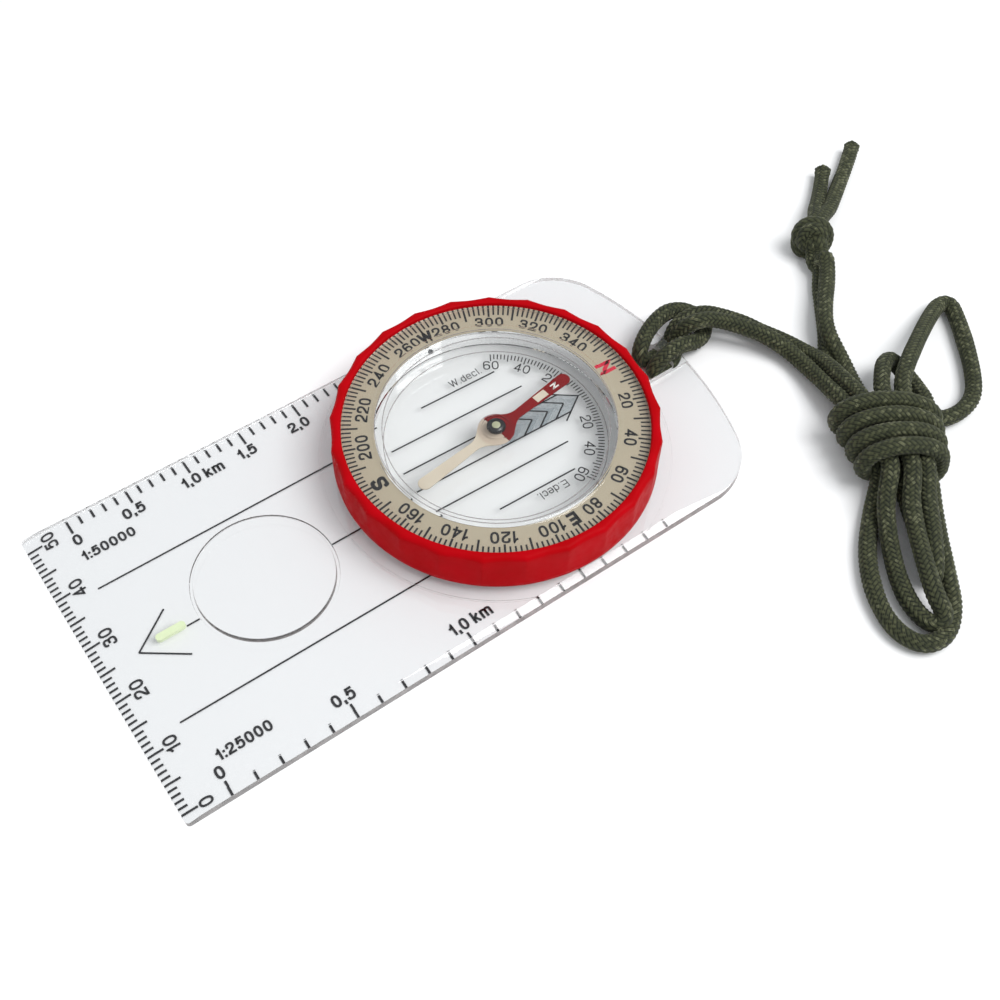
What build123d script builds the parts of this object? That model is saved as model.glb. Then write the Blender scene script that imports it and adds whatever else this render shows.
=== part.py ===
"""Baseplate compass: a clear map plate with a turning dial, a floating needle and a braided lanyard.

Frame: millimetres, +Z up, underside of the plate at Z = 0, origin under the middle of the plate.
-Y is the direction of travel, +Y is the lanyard end, +X carries the 1:25000 edge.
"""

import os
from math import cos, pi, radians, sin, tan

from build123d import *

# Plate
PLATE_WIDTH = 54.0
PLATE_LENGTH = 106.5
PLATE_THICKNESS = 2.0
REAR_BOW_RADIUS = 60.2
REAR_CORNER_RADIUS = 11.0
FRONT_CORNER_RADIUS = 0.6
FRONT_BEVEL_WIDTH = 4.95
FRONT_EDGE_THICKNESS = 1.1
SIDE_BEVEL_WIDTH = 1.2
SIDE_BEVEL_DEPTH = 0.5
REAR_CHAMFER = 0.3
HALO_RADIUS = 28.0
HALO_WIDTH = 0.3
HALO_DEPTH = 0.1
SLOT_WIDTH = 6.0
SLOT_FRONT = 44.0
SLOT_REAR = 50.8
SLOT_CORNER_RADIUS = 1.0
CORD_CHANNEL_DEPTH = 1.0

# Lens and travel arrow
LENS_Y = -26.0
LENS_RADIUS = 11.2
LENS_TOP = 3.1
LENS_RIM = 0.7
LUME_WIDTH = 1.2
LUME_FRONT = -44.0
LUME_REAR = -39.3
LUME_DEPTH = 0.4

# Dial
DIAL_Y = 16.0
CAPSULE_RADIUS = 19.8
CAPSULE_WALL = 2.0
CAPSULE_BOTTOM = 0.3
CAPSULE_FLOOR = 1.4
CAPSULE_TOP = 8.0
RUNNING_CLEARANCE = 0.05
COLLAR_RADIUS = 23.9
COLLAR_TOP = 7.4
BEZEL_BORE = 24.1
BEZEL_RADIUS = 25.9
BEZEL_BOTTOM = 2.35
BEZEL_TOP = 9.7
BEZEL_CHAMFER = 0.35
FACETS = 25
FACET_RADIUS = 10.0
FACET_VALLEY = 25.45
FACET_TURN = 82.8
RETAINER_RADIUS = 22.2
RETAINER_BOTTOM = 0.15
RETAINER_TOP = 0.9
RECESS_RADIUS = 22.3
RECESS_DEPTH = 1.0
SCALE_BOTTOM = 7.7
SCALE_BORE = 19.0
LID_TOP = 9.2
LID_CROWN = 9.5
LID_CROWN_RADIUS = 19.5
MARK_INNER = 20.1
MARK_OUTER = 23.2
MARK_WIDTH = 0.9
MARK_HEIGHT = 0.1
PLUG_RADIUS = 0.45
PLUG_Z = 6.6
PIN_RADIUS = 0.4
PIN_SHOULDER = 5.3
PIN_TIP = 6.2
PIN_TIP_RADIUS = 0.05

# Needle
NEEDLE_BEARING = 8.5
NEEDLE_REACH = 16.0
NEEDLE_BOTTOM = 4.95
NEEDLE_TOP = 5.25
NEEDLE_TIP_WIDTH = 2.2
NEEDLE_WAIST = 1.5
NEEDLE_CENTRE_RADIUS = 2.0
HUB_RADIUS = 2.95
HUB_COLLAR_RADIUS = 2.3
HUB_BORE = 0.75
HUB_STEP = 5.55
HUB_TOP = 6.5
JEWEL_BOTTOM = 5.9
JEWEL_MOUTH = 0.45
JEWEL_APEX = 6.25
CAP_RADIUS = 1.4
CAP_TOP = 7.3
DOT_RADIUS = 0.95
DOT_TOP = 7.4
PATCH_START = 8.6
PATCH_LENGTH = 2.4
PATCH_WIDTH = 1.3
PATCH_HEIGHT = 0.08

# Lanyard
CORD = 2.8
GROUND_GAP = 0.05
HITCH_OUTLINE = [
    (-3.4, 45.6),
    (-6.2, 50.2),
    (-7.4, 54.4),
    (-6.6, 59.6),
    (-3.4, 62.6),
    (0.6, 61.6),
    (3.2, 58.4),
    (3.6, 53.4),
    (3.0, 48.0),
    (1.6, 45.6),
]
HITCH_CORNER_RADIUS = 1.0
HITCH_WIDTH = SLOT_WIDTH - 0.4
HITCH_FRONT = 45.9
HITCH_UNDER_FRONT = 50.3
HITCH_UNDER_REAR = 54.3
RISE_CENTRE = (-0.6, 56.6)
RISE_SIZE = (5.8, 6.4)
RISE_HEIGHT = 7.0
HANK_CENTRE = (35.7, 68.5, 0)
HANK_TURN = -26.4
HANK_LENGTH = 14.0
HANK_WIDTH = 17.0
HANK_HEIGHT = 10.6
HANK_CORNER_RADIUS = 4.4
LOOPS_OUTLINE = [
    (37.0, 62.6),
    (41.4, 56.5),
    (46.0, 51.2),
    (51.8, 46.8),
    (58.2, 44.4),
    (64.6, 45.4),
    (66.4, 50.8),
    (64.2, 55.8),
    (59.0, 60.4),
    (51.6, 65.5),
    (46.0, 68.6),
]
LOOPS_CORNER_RADIUS = 1.2
LOOPS_HEIGHT = 6.2
LOOPS_END_HEIGHT = 3.2
LOOPS_ALONG = (0.78, -0.62, 0)
SLOPE_START = 14.0
SLOPE_END = 40.0
KNOT_CENTRE = (-6.0, 89.6)
KNOT_SIZE = (8.2, 9.2, 6.4)
KNOT_CORNER_RADIUS = 2.6

half_width = PLATE_WIDTH / 2
half_length = PLATE_LENGTH / 2
bevel_slope = (PLATE_THICKNESS - FRONT_EDGE_THICKNESS) / FRONT_BEVEL_WIDTH
bow_end = half_length - REAR_BOW_RADIUS + (REAR_BOW_RADIUS**2 - half_width**2) ** 0.5
dome_edge = LENS_RADIUS - LENS_RIM
dome_rise = LENS_TOP - PLATE_THICKNESS
dome_radius = (dome_edge**2 + dome_rise**2) / (2 * dome_rise)
dome_middle_height = LENS_TOP - dome_radius + (dome_radius**2 - dome_edge**2 / 4) ** 0.5
dial_axis = Axis((0, DIAL_Y, 0), (0, 0, 1))
dial_side = Plane(origin=(0, DIAL_Y, 0), x_dir=(1, 0, 0), z_dir=(0, -1, 0))
needle_side = Plane(origin=(0, DIAL_Y, NEEDLE_BOTTOM), x_dir=(1, 0, 0), z_dir=(0, 0, 1)).rotated(
    (0, 0, NEEDLE_BEARING)
)

os.makedirs("parts", exist_ok=True)


def save(piece, label):
    """Label a finished piece and write it to its own file."""
    piece.part.label = label
    export_step(piece.part, f"parts/{label}.step")


def turned(*points):
    """A piece turned about the dial's axis from (radius, height) points."""
    with BuildPart() as piece:
        with BuildSketch(dial_side):
            with BuildLine():
                Polyline(*points, close=True)
            make_face()
        revolve(axis=dial_axis)
    return piece


# ---------------------------------------------------------------- the plate and what is fixed to it

with BuildPart() as baseplate:
    with BuildSketch():
        with BuildLine():
            Polyline(
                (-half_width, bow_end),
                (-half_width, -half_length),
                (half_width, -half_length),
                (half_width, bow_end),
            )
            ThreePointArc((half_width, bow_end), (0, half_length), (-half_width, bow_end))
        make_face()
        fillet(vertices().group_by(Axis.Y)[-1], REAR_CORNER_RADIUS)
        fillet(vertices().group_by(Axis.Y)[0], FRONT_CORNER_RADIUS)
    extrude(amount=PLATE_THICKNESS)
    round_edges = faces().sort_by(Axis.Z)[-1].edges().filter_by(GeomType.CIRCLE)
    chamfer(round_edges.filter_by(lambda edge: edge.center().Y > DIAL_Y), REAR_CHAMFER)
    with BuildSketch(Plane.YZ):
        with BuildLine():
            Polyline(
                (-half_length - 1, FRONT_EDGE_THICKNESS - bevel_slope),
                (-half_length + FRONT_BEVEL_WIDTH, PLATE_THICKNESS),
                (-half_length + FRONT_BEVEL_WIDTH, PLATE_THICKNESS + 1),
                (-half_length - 1, PLATE_THICKNESS + 1),
                close=True,
            )
        make_face()
    extrude(amount=half_width + 1, both=True, mode=Mode.SUBTRACT)
    with BuildSketch(Plane.XZ):
        with BuildLine():
            Polyline(
                (half_width - SIDE_BEVEL_WIDTH, PLATE_THICKNESS),
                (half_width, PLATE_THICKNESS - SIDE_BEVEL_DEPTH),
                (half_width + 1, PLATE_THICKNESS - SIDE_BEVEL_DEPTH),
                (half_width + 1, PLATE_THICKNESS + 1),
                (half_width - SIDE_BEVEL_WIDTH, PLATE_THICKNESS + 1),
                close=True,
            )
        make_face()
        mirror(about=Plane.YZ)
    extrude(amount=half_length + 1, both=True, mode=Mode.SUBTRACT)
    with BuildSketch(Plane.XY.offset(PLATE_THICKNESS)):
        with Locations((0, DIAL_Y)):
            Circle(HALO_RADIUS + HALO_WIDTH / 2)
            Circle(HALO_RADIUS - HALO_WIDTH / 2, mode=Mode.SUBTRACT)
    extrude(amount=-HALO_DEPTH, mode=Mode.SUBTRACT)
    with BuildSketch():
        with Locations((0, DIAL_Y)):
            Circle(CAPSULE_RADIUS + RUNNING_CLEARANCE)
    extrude(amount=PLATE_THICKNESS, mode=Mode.SUBTRACT)
    with BuildSketch():
        with Locations((0, DIAL_Y)):
            Circle(RECESS_RADIUS)
    extrude(amount=RECESS_DEPTH, mode=Mode.SUBTRACT)
    with BuildSketch():
        with Locations((0, LENS_Y)):
            Circle(LENS_RADIUS)
    extrude(amount=PLATE_THICKNESS, mode=Mode.SUBTRACT)
    with BuildSketch(Plane.XY.offset(PLATE_THICKNESS)):
        with Locations((0, (LUME_FRONT + LUME_REAR) / 2)):
            Rectangle(LUME_WIDTH, LUME_REAR - LUME_FRONT)
    extrude(amount=-LUME_DEPTH, mode=Mode.SUBTRACT)
    with BuildSketch():
        with Locations((0, (SLOT_FRONT + SLOT_REAR) / 2)):
            RectangleRounded(SLOT_WIDTH, SLOT_REAR - SLOT_FRONT, SLOT_CORNER_RADIUS)
    extrude(amount=PLATE_THICKNESS, mode=Mode.SUBTRACT)
    with BuildSketch():
        with Locations((0, (SLOT_REAR - SLOT_CORNER_RADIUS + half_length) / 2)):
            Rectangle(SLOT_WIDTH, half_length - SLOT_REAR + SLOT_CORNER_RADIUS)
    extrude(amount=CORD_CHANNEL_DEPTH, mode=Mode.SUBTRACT)
save(baseplate, "baseplate")

with BuildPart() as magnifier_lens:
    with BuildSketch(Plane(origin=(0, LENS_Y, 0), x_dir=(1, 0, 0), z_dir=(0, -1, 0))):
        with BuildLine():
            Polyline(
                (0, LENS_TOP),
                (0, 0),
                (LENS_RADIUS, 0),
                (LENS_RADIUS, PLATE_THICKNESS),
                (dome_edge + LENS_RIM / 2, PLATE_THICKNESS - LENS_RIM / 3),
                (dome_edge, PLATE_THICKNESS),
            )
            ThreePointArc((dome_edge, PLATE_THICKNESS), (dome_edge / 2, dome_middle_height), (0, LENS_TOP))
        make_face()
    revolve(axis=Axis((0, LENS_Y, 0), (0, 0, 1)))
save(magnifier_lens, "magnifier_lens")

with BuildPart() as travel_lume_strip:
    with BuildSketch(Plane.XY.offset(PLATE_THICKNESS)):
        with Locations((0, (LUME_FRONT + LUME_REAR) / 2)):
            Rectangle(LUME_WIDTH, LUME_REAR - LUME_FRONT)
    extrude(amount=-LUME_DEPTH)
save(travel_lume_strip, "travel_lume_strip")

bearing_collar = turned(
    (CAPSULE_RADIUS + RUNNING_CLEARANCE, PLATE_THICKNESS),
    (COLLAR_RADIUS, PLATE_THICKNESS),
    (COLLAR_RADIUS, COLLAR_TOP),
    (CAPSULE_RADIUS + RUNNING_CLEARANCE, COLLAR_TOP),
)
save(bearing_collar, "bearing_collar")

with BuildPart() as index_mark:
    with BuildSketch(Plane.XY.offset(COLLAR_TOP)):
        with Locations((0, DIAL_Y - (MARK_INNER + MARK_OUTER) / 2)):
            Rectangle(MARK_WIDTH, MARK_OUTER - MARK_INNER)
    extrude(amount=MARK_HEIGHT)
save(index_mark, "index_mark")

# ---------------------------------------------------------------- the dial

with BuildPart() as bezel_ring:
    with BuildSketch(dial_side):
        with BuildLine():
            Polyline(
                (BEZEL_BORE, BEZEL_BOTTOM),
                (BEZEL_RADIUS, BEZEL_BOTTOM),
                (BEZEL_RADIUS, BEZEL_TOP - BEZEL_CHAMFER),
                (BEZEL_RADIUS - BEZEL_CHAMFER, BEZEL_TOP),
                (BEZEL_BORE, BEZEL_TOP),
                close=True,
            )
        make_face()
    revolve(axis=dial_axis)
    facet_height = BEZEL_TOP - BEZEL_BOTTOM
    facet_axis_radius = FACET_VALLEY + FACET_RADIUS
    with Locations((0, DIAL_Y, (BEZEL_TOP + BEZEL_BOTTOM) / 2)):
        with PolarLocations(facet_axis_radius, FACETS, FACET_TURN):
            Cone(facet_axis_radius - BEZEL_RADIUS, FACET_RADIUS, facet_height, mode=Mode.SUBTRACT)
save(bezel_ring, "bezel_ring")

capsule_lid = turned(
    (0, CAPSULE_TOP),
    (BEZEL_BORE, CAPSULE_TOP),
    (BEZEL_BORE, LID_TOP),
    (LID_CROWN_RADIUS + LID_CROWN - LID_TOP, LID_TOP),
    (LID_CROWN_RADIUS, LID_CROWN),
    (0, LID_CROWN),
)
save(capsule_lid, "capsule_lid")

degree_scale_ring = turned(
    (SCALE_BORE, SCALE_BOTTOM),
    (BEZEL_BORE, SCALE_BOTTOM),
    (BEZEL_BORE, CAPSULE_TOP),
    (SCALE_BORE, CAPSULE_TOP),
)
save(degree_scale_ring, "degree_scale_ring")

with BuildPart() as capsule_body:
    with BuildSketch(dial_side):
        with BuildLine():
            Polyline(
                (0, CAPSULE_BOTTOM),
                (CAPSULE_RADIUS, CAPSULE_BOTTOM),
                (CAPSULE_RADIUS, SCALE_BOTTOM),
                (SCALE_BORE, SCALE_BOTTOM),
                (SCALE_BORE, CAPSULE_TOP),
                (CAPSULE_RADIUS - CAPSULE_WALL, CAPSULE_TOP),
                (CAPSULE_RADIUS - CAPSULE_WALL, CAPSULE_FLOOR),
                (0, CAPSULE_FLOOR),
                close=True,
            )
        make_face()
    revolve(axis=dial_axis)
    with BuildSketch(Plane(origin=(0, DIAL_Y, PLUG_Z), x_dir=(0, 1, 0), z_dir=(-1, 0, 0))):
        Circle(PLUG_RADIUS)
    extrude(amount=CAPSULE_RADIUS, mode=Mode.SUBTRACT)
save(capsule_body, "capsule_body")

with BuildPart() as fill_plug:
    plug_end = CAPSULE_RADIUS - 0.1
    with BuildSketch(Plane(origin=(-plug_end, DIAL_Y, PLUG_Z), x_dir=(0, 1, 0), z_dir=(1, 0, 0))):
        Circle(PLUG_RADIUS)
    extrude(amount=CAPSULE_WALL - 0.2)
save(fill_plug, "fill_plug")

retaining_ring = turned(
    (CAPSULE_RADIUS, RETAINER_BOTTOM),
    (RETAINER_RADIUS, RETAINER_BOTTOM),
    (RETAINER_RADIUS, RETAINER_TOP),
    (CAPSULE_RADIUS, RETAINER_TOP),
)
save(retaining_ring, "retaining_ring")

pivot_pin = turned(
    (0, CAPSULE_FLOOR),
    (PIN_RADIUS, CAPSULE_FLOOR),
    (PIN_RADIUS, PIN_SHOULDER),
    (PIN_TIP_RADIUS, PIN_TIP),
    (0, PIN_TIP),
)
save(pivot_pin, "pivot_pin")

# ---------------------------------------------------------------- the needle

for label, way in (("needle_north", 1), ("needle_south", -1)):
    with BuildPart() as needle_half:
        with BuildSketch(needle_side):
            with BuildLine():
                Polyline(
                    (-NEEDLE_WAIST / 2, 0),
                    (NEEDLE_WAIST / 2, 0),
                    (NEEDLE_TIP_WIDTH / 2, way * (NEEDLE_REACH - NEEDLE_TIP_WIDTH / 2)),
                    (0, way * NEEDLE_REACH),
                    (-NEEDLE_TIP_WIDTH / 2, way * (NEEDLE_REACH - NEEDLE_TIP_WIDTH / 2)),
                    close=True,
                )
            make_face()
            with BuildSketch(mode=Mode.PRIVATE) as centre_disc:
                Circle(NEEDLE_CENTRE_RADIUS)
                with Locations((0, -way * NEEDLE_CENTRE_RADIUS)):
                    Rectangle(
                        2 * NEEDLE_CENTRE_RADIUS,
                        2 * NEEDLE_CENTRE_RADIUS,
                        mode=Mode.SUBTRACT,
                    )
            add(centre_disc.sketch)
            Circle(HUB_BORE, mode=Mode.SUBTRACT)
        extrude(amount=NEEDLE_TOP - NEEDLE_BOTTOM)
    save(needle_half, label)

with BuildPart() as needle_lume_patch:
    with BuildSketch(needle_side.offset(NEEDLE_TOP - NEEDLE_BOTTOM)):
        with Locations((0, PATCH_START + PATCH_LENGTH / 2)):
            Rectangle(PATCH_WIDTH, PATCH_LENGTH)
    extrude(amount=PATCH_HEIGHT)
save(needle_lume_patch, "needle_lume_patch")

needle_hub = turned(
    (HUB_BORE, NEEDLE_TOP),
    (HUB_RADIUS, NEEDLE_TOP),
    (HUB_RADIUS, HUB_STEP),
    (HUB_COLLAR_RADIUS, HUB_STEP),
    (HUB_COLLAR_RADIUS, HUB_TOP),
    (HUB_BORE, HUB_TOP),
)
save(needle_hub, "needle_hub")

jewel_bearing = turned(
    (0, JEWEL_APEX),
    (JEWEL_MOUTH, JEWEL_BOTTOM),
    (HUB_BORE, JEWEL_BOTTOM),
    (HUB_BORE, HUB_TOP),
    (0, HUB_TOP),
)
save(jewel_bearing, "jewel_bearing")

bearing_cap = turned(
    (0, HUB_TOP),
    (CAP_RADIUS, HUB_TOP),
    (CAP_RADIUS, CAP_TOP - 0.2),
    (CAP_RADIUS - 0.2, CAP_TOP),
    (0, CAP_TOP),
)
save(bearing_cap, "bearing_cap")

cap_lume_dot = turned((0, CAP_TOP), (DOT_RADIUS, CAP_TOP), (DOT_RADIUS, DOT_TOP), (0, DOT_TOP))
save(cap_lume_dot, "cap_lume_dot")

# ---------------------------------------------------------------- the lanyard

# The two halves of the cord are routed side by side; each list is one stretch of one half.
routes = {
    "lanyard_lead_a": [
        (-0.9, 58.2, 5.9),
        (3.2, 64.0, 5.7),
        (9.0, 68.0, 4.1),
        (15.4, 70.4, 2.9),
        (21.2, 70.3, 4.4),
        (27.0, 68.9, 5.9),
    ],
    "lanyard_lead_b": [
        (0.6, 56.4, 4.0),
        (4.3, 61.7, 3.3),
        (9.8, 65.4, 2.0),
        (15.8, 67.4, 1.5),
        (22.0, 67.5, 1.9),
        (27.4, 66.2, 3.1),
    ],
    "lanyard_upper_a": [
        (28.8, 72.4, 3.8),
        (22.9, 73.3, 2.4),
        (16.5, 76.2, 1.5),
        (10.6, 79.9, 1.5),
        (4.2, 85.4, 1.6),
        (-1.0, 88.9, 2.6),
        (-4.8, 90.9, 3.4),
    ],
    "lanyard_upper_b": [
        (28.2, 69.0, 2.0),
        (21.9, 70.4, 1.5),
        (15.0, 73.2, 1.5),
        (8.4, 77.4, 1.5),
        (2.0, 82.7, 1.5),
        (-2.9, 86.1, 1.9),
        (-6.4, 87.6, 2.6),
    ],
    "lanyard_tall_loop": [
        (31.8, 71.0, 6.4),
        (30.0, 74.2, 6.8),
        (27.9, 78.0, 6.9),
        (24.8, 83.8, 5.4),
        (21.8, 89.8, 3.3),
        (19.2, 94.8, 2.3),
        (17.5, 99.0, 1.7),
        (20.8, 101.2, 1.5),
        (25.4, 96.8, 1.5),
        (30.6, 93.2, 1.5),
        (34.8, 89.4, 1.5),
        (37.5, 85.2, 1.5),
        (37.8, 81.4, 1.6),
        (36.4, 78.4, 2.0),
        (35.3, 75.6, 2.5),
    ],
    "lanyard_small_bight": [
        (30.2, 69.4, 6.6),
        (27.7, 72.0, 6.8),
        (25.2, 74.6, 6.2),
        (23.6, 77.4, 5.2),
        (24.3, 80.8, 4.0),
        (27.8, 81.4, 3.0),
        (32.0, 80.2, 3.2),
        (36.1, 76.8, 4.6),
        (38.8, 73.0, 5.2),
    ],
    "lanyard_end_a": [
        (-6.0, 91.8, 3.4),
        (-8.9, 97.9, 2.6),
        (-13.7, 105.6, 1.5),
        (-17.6, 110.9, 1.5),
        (-20.6, 114.6, 1.5),
    ],
    "lanyard_end_b": [
        (-8.9, 91.9, 2.0),
        (-11.4, 96.1, 1.7),
        (-14.8, 100.3, 1.5),
        (-18.8, 104.4, 1.5),
    ],
}

for label, route in routes.items():
    points = [Vector(*point) for point in route]
    corner_radii = []
    for before, here, after in zip(points, points[1:], points[2:]):
        run_in = here - before
        run_out = after - here
        turn = run_in.get_angle(run_out)
        corner_radii.append(0.45 * min(run_in.length, run_out.length) / tan(radians(turn) / 2))
    with BuildPart() as cord_stretch:
        with BuildLine() as centre_line:
            FilletPolyline(*points, radius=corner_radii)
        centre_wire = centre_line.wire()
        with BuildSketch(Plane(origin=centre_wire @ 0, z_dir=centre_wire % 0)):
            Circle(CORD / 2)
        sweep(path=centre_wire)
    expected = centre_wire.length * pi * CORD**2 / 4
    print(label, "radii", [round(radius, 1) for radius in corner_radii])
    print(label, "length", round(centre_wire.length, 1), end=" ")
    print("volume share", round(cord_stretch.part.volume / expected, 3))
    save(cord_stretch, label)

# The hitch: a bight over the rear bar, the strands down the slot and back under the bar.
with BuildPart() as lanyard_hitch:
    with BuildSketch(Plane.XY.offset(PLATE_THICKNESS + GROUND_GAP)):
        with BuildLine():
            Polyline(*HITCH_OUTLINE, close=True)
        make_face()
        fillet(vertices(), HITCH_CORNER_RADIUS)
    extrude(amount=CORD)
    with BuildSketch(Plane.XY.offset(GROUND_GAP)):
        with Locations((0, (HITCH_FRONT + HITCH_UNDER_FRONT) / 2)):
            Rectangle(HITCH_WIDTH, HITCH_UNDER_FRONT - HITCH_FRONT)
    extrude(amount=PLATE_THICKNESS)
    with BuildSketch(Plane.XY.offset(GROUND_GAP)):
        with Locations((0, (HITCH_UNDER_FRONT + HITCH_UNDER_REAR) / 2)):
            Rectangle(HITCH_WIDTH, HITCH_UNDER_REAR - HITCH_UNDER_FRONT)
    extrude(amount=CORD_CHANNEL_DEPTH - 2 * GROUND_GAP)
    with BuildSketch(Plane.XY.offset(GROUND_GAP)):
        with Locations(RISE_CENTRE):
            RectangleRounded(*RISE_SIZE, HITCH_CORNER_RADIUS)
    extrude(amount=RISE_HEIGHT)
save(lanyard_hitch, "lanyard_hitch")

# The hank: turns wrapped across a bundle, with the bundle's loops hanging out of one end.
with BuildPart() as lanyard_hank:
    hank_along = Vector(cos(radians(HANK_TURN)), sin(radians(HANK_TURN)), 0)
    hank_across = Vector(-hank_along.Y, hank_along.X, 0)
    hank_start = Vector(*HANK_CENTRE) - hank_along * (HANK_LENGTH / 2)
    with BuildSketch(Plane(origin=hank_start, x_dir=hank_across, z_dir=hank_along)):
        with Locations((0, HANK_HEIGHT / 2 + GROUND_GAP)):
            RectangleRounded(HANK_WIDTH, HANK_HEIGHT, HANK_CORNER_RADIUS)
    extrude(amount=HANK_LENGTH)
    with BuildSketch(Plane.XY.offset(GROUND_GAP)):
        with BuildLine():
            Polyline(*LOOPS_OUTLINE, close=True)
        make_face()
        fillet(vertices().sort_by(Axis.X)[1:], LOOPS_CORNER_RADIUS)
    extrude(amount=LOOPS_HEIGHT)
    loops_across = (LOOPS_ALONG[1], -LOOPS_ALONG[0], 0)
    with BuildSketch(Plane(origin=HANK_CENTRE, x_dir=LOOPS_ALONG, z_dir=loops_across)):
        with BuildLine():
            Polyline(
                (SLOPE_START, LOOPS_HEIGHT + 0.1),
                (SLOPE_END, LOOPS_HEIGHT + 0.1),
                (SLOPE_END, LOOPS_END_HEIGHT),
                close=True,
            )
        make_face()
    extrude(amount=HANK_WIDTH, both=True, mode=Mode.SUBTRACT)
save(lanyard_hank, "lanyard_hank")

# The overhand knot that ties both halves together.
with BuildPart() as lanyard_knot:
    with Locations((*KNOT_CENTRE, GROUND_GAP + KNOT_SIZE[2] / 2)):
        Box(*KNOT_SIZE)
    fillet(edges(), KNOT_CORNER_RADIUS)
save(lanyard_knot, "lanyard_knot")
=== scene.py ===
"""Baseplate compass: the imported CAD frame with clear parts, prints, needle and braided lanyard dressed."""

from math import copysign, cos, pi, radians, sin

import bmesh
import bpy
import numpy as np
from mathutils import Matrix, Vector


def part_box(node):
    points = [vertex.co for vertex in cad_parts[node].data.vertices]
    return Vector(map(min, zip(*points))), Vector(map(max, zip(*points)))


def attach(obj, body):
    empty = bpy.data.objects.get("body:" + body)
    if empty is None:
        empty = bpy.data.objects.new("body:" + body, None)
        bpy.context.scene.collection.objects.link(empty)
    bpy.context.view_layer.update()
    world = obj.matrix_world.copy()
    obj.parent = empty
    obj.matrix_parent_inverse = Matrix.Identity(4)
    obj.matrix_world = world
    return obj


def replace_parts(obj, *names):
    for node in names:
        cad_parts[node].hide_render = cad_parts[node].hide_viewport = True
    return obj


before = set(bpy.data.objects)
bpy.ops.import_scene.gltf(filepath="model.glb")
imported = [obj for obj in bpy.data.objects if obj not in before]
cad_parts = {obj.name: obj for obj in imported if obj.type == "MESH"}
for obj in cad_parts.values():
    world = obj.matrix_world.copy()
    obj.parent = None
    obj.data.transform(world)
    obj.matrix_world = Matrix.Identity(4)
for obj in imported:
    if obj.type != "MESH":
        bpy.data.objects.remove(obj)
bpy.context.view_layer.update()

MM = 0.001

# Camera, at the photograph's angle
CAMERA_LENS = 46.67
CAMERA_PLACE = (99.21, -56.11, 169.0)
CAMERA_TURN = (34.01, -0.83, 54.80)
FLOOR_Z = -0.1

# The frame's own sizes, in millimetres
plate_low, plate_high = (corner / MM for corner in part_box("baseplate"))
lens_low, lens_high = (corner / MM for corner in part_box("magnifier_lens"))
lid_low, lid_high = (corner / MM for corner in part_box("capsule_lid"))
body_low, body_high = (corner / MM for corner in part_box("capsule_body"))
strip_low, strip_high = (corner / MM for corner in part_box("travel_lume_strip"))
FRONT = plate_low.y
PLATE_TOP = plate_high.z
LENS_CENTRE = (lens_low + lens_high) / 2
LENS_RADIUS = (lens_high.x - lens_low.x) / 2
DIAL_Y = (lid_low.y + lid_high.y) / 2
SCALE_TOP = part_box("degree_scale_ring")[1].z / MM
NEEDLE_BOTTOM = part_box("needle_south")[0].z / MM
NEEDLE_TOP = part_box("needle_south")[1].z / MM
CAPSULE_FLOOR = 1.4

# How the dial and the needle lie at rest, in degrees about Z
DIAL_TURN = -1.9
NEEDLE_TURN = 8.5

CORD = 2.8


# ---------------------------------------------------------------- meshes


def piece(name, mesh, body, material, smooth_below=None):
    """A finished mesh as an object that rides on a body."""
    made = bpy.data.objects.new(name, mesh)
    bpy.context.scene.collection.objects.link(made)
    mesh.materials.clear()
    mesh.materials.append(material)
    if smooth_below is not None:
        mesh.polygons.foreach_set("use_smooth", [True] * len(mesh.polygons))
        mesh.set_sharp_from_angle(angle=radians(smooth_below))
    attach(made, body)
    return made


def mesh_of(form, name, scale=MM):
    """A bmesh in millimetres as a mesh in metres, with its normals outward."""
    bmesh.ops.recalc_face_normals(form, faces=form.faces)
    form.transform(Matrix.Scale(scale, 4))
    mesh = bpy.data.meshes.new(name)
    form.to_mesh(mesh)
    form.free()
    return mesh


def lathe(profile, centre=(0, 0), steps=256):
    """A closed solid turned about a vertical axis from (radius, height) points, axis to axis."""
    form = bmesh.new()
    rings = []
    for radius, height in profile:
        if radius == 0:
            rings.append([form.verts.new((centre[0], centre[1], height))])
            continue
        ring = []
        for step in range(steps):
            angle = 2 * pi * step / steps
            x = centre[0] + radius * cos(angle)
            y = centre[1] + radius * sin(angle)
            ring.append(form.verts.new((x, y, height)))
        rings.append(ring)
    for lower, upper in zip(rings, rings[1:]):
        for step in range(steps):
            after = (step + 1) % steps
            if len(lower) == 1:
                form.faces.new((lower[0], upper[step], upper[after]))
            elif len(upper) == 1:
                form.faces.new((lower[step], lower[after], upper[0]))
            else:
                form.faces.new((lower[step], lower[after], upper[after], upper[step]))
    return form


def slab(form, outline, bottom, top):
    """Adds an upright prism over a closed outline of (x, y) points."""
    low = [form.verts.new((x, y, bottom)) for x, y in outline]
    high = [form.verts.new((x, y, top)) for x, y in outline]
    form.faces.new(reversed(low))
    form.faces.new(high)
    for index in range(len(outline)):
        after = (index + 1) % len(outline)
        form.faces.new((low[index], low[after], high[after], high[index]))


def stroke(form, start, end, width, bottom, top):
    """Adds a printed straight line of that width from start to end."""
    along = Vector((end[0] - start[0], end[1] - start[1])).normalized()
    side = Vector((-along.y, along.x)) * (width / 2)
    corners = [Vector(start) - side, Vector(end) - side, Vector(end) + side, Vector(start) + side]
    slab(form, [tuple(corner) for corner in corners], bottom, top)


def pen(*points):
    """An open stroke."""
    return False, points


def loop(*points):
    """A closed stroke."""
    return True, points


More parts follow.
